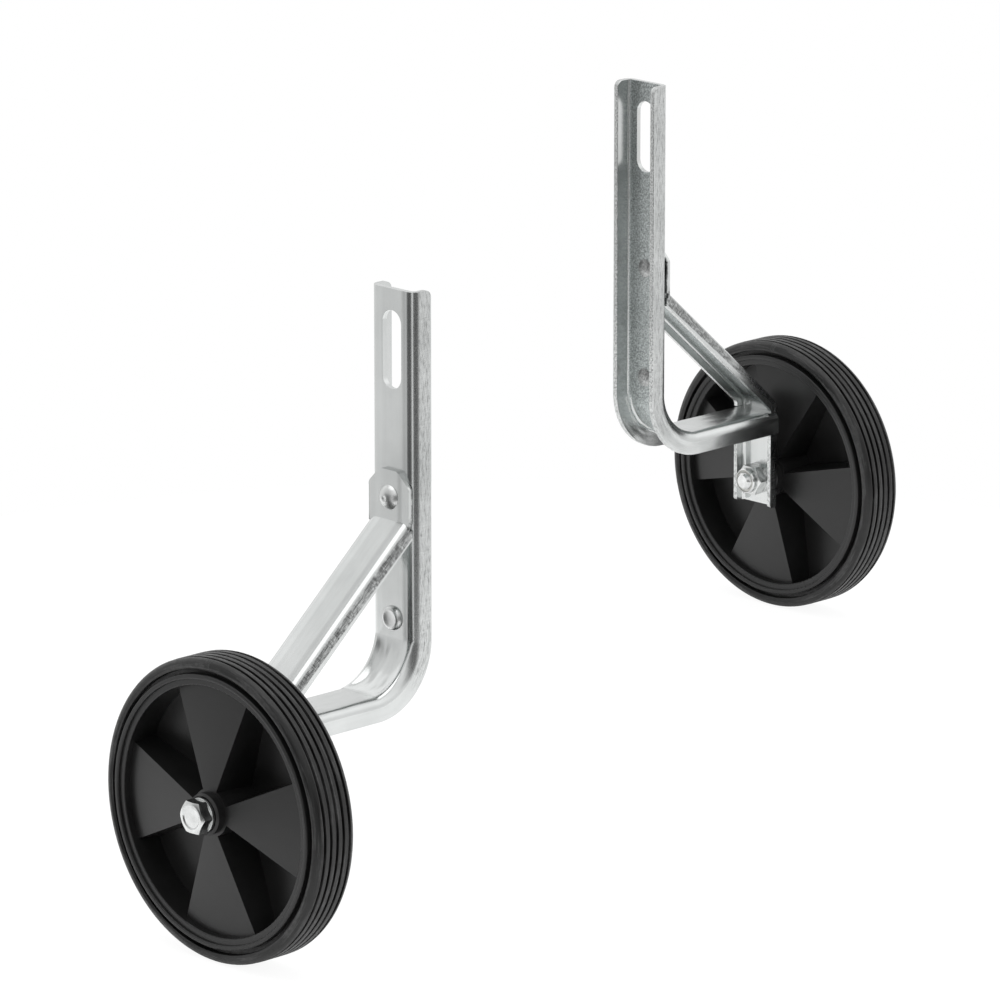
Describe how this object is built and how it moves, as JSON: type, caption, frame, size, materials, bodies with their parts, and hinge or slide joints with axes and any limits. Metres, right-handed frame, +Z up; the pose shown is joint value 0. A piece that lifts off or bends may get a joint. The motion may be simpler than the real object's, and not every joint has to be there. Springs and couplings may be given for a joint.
{
  "type": "bicycle training wheels",
  "caption": "Bolt-on training wheels for a child's bicycle: slotted pressed-steel arms with riveted braces, each carrying a moulded wheel with a ribbed rubber tyre.",
  "frame": {"origin": "on the floor, midway between the two units", "axes": "+Y along both wheels' axes, from the right unit to the left one; +X fore and aft; +Z up"},
  "size_m": [0.343, 0.5982, 0.2635],
  "materials": {
    "zinc_sheet": "bright zinc-plated pressed sheet, faint grain",
    "zinc_hardware": "bright zinc-plated bolts, nuts, washers and rivets",
    "black_plastic": "satin moulded plastic",
    "black_rubber": "smooth moulded rubber with a low sheen",
    "nylon": "natural nylon"
  },
  "bodies": {
    "brackets": {"right_arm": "zinc_sheet", "right_brace": "zinc_sheet", "right_upper_rivet": "zinc_hardware", "right_lower_rivet": "zinc_hardware", "right_axle_bolt": "zinc_hardware", "right_head_washer": "zinc_hardware", "right_bearing_sleeve": "zinc_hardware", "right_hub_washer": "zinc_hardware", "right_nut_washer": "zinc_hardware", "right_lock_nut": "zinc_hardware", "right_nut_insert": "nylon", "left_arm": "zinc_sheet", "left_brace": "zinc_sheet", "left_upper_rivet": "zinc_hardware", "left_lower_rivet": "zinc_hardware", "left_axle_bolt": "zinc_hardware", "left_head_washer": "zinc_hardware", "left_bearing_sleeve": "zinc_hardware", "left_hub_washer": "zinc_hardware", "left_nut_washer": "zinc_hardware", "left_lock_nut": "zinc_hardware", "left_nut_insert": "nylon"},
    "right_roller": {"right_wheel": "black_plastic", "right_tyre": "black_rubber"},
    "left_roller": {"left_wheel": "black_plastic", "left_tyre": "black_rubber"}
  },
  "joints": [
    {"name": "right_spin", "type": "hinge", "parent": "brackets", "child": "right_roller", "pos_m": [0.108, -0.278, 0.0635], "axis": [0, 1, 0], "continuous": true},
    {"name": "left_spin", "type": "hinge", "parent": "brackets", "child": "left_roller", "pos_m": [-0.108, 0.278, 0.0635], "axis": [0, 1, 0], "continuous": true}
  ]
}
